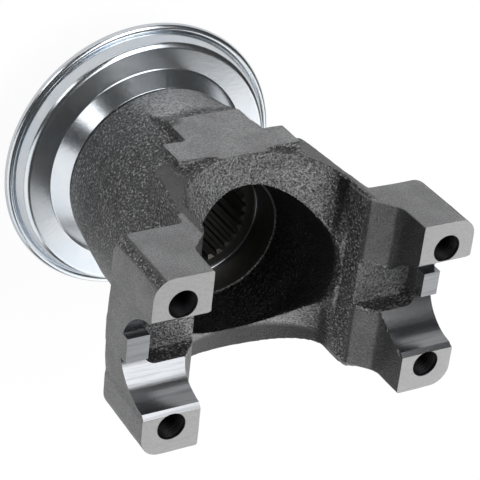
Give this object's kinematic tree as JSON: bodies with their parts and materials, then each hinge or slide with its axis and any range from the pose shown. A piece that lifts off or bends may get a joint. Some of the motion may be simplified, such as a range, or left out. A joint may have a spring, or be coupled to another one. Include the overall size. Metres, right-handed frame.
{
  "type": "pinion yoke",
  "caption": "Splined pinion yoke with two eared half-round bearing seats, tapped strap holes and a pressed dust shield on its hub.",
  "frame": {"origin": "centre of the hub's rear end face, on the pinion's axis", "axes": "+Z along the pinion's axis toward the ears' strap faces, X along the bearing caps from ear to ear, Y across the two bosses of an ear; the yoke stands on its hub's end"},
  "size_m": [0.1054, 0.096, 0.135],
  "materials": {
    "casting": "rough as-cast skin, with bare machined strap faces and bearing seats",
    "shield": "bright zinc-plated pressed steel"
  },
  "bodies": {
    "root": {"yoke_casting": "casting", "dust_shield": "shield"}
  },
  "joints": []
}
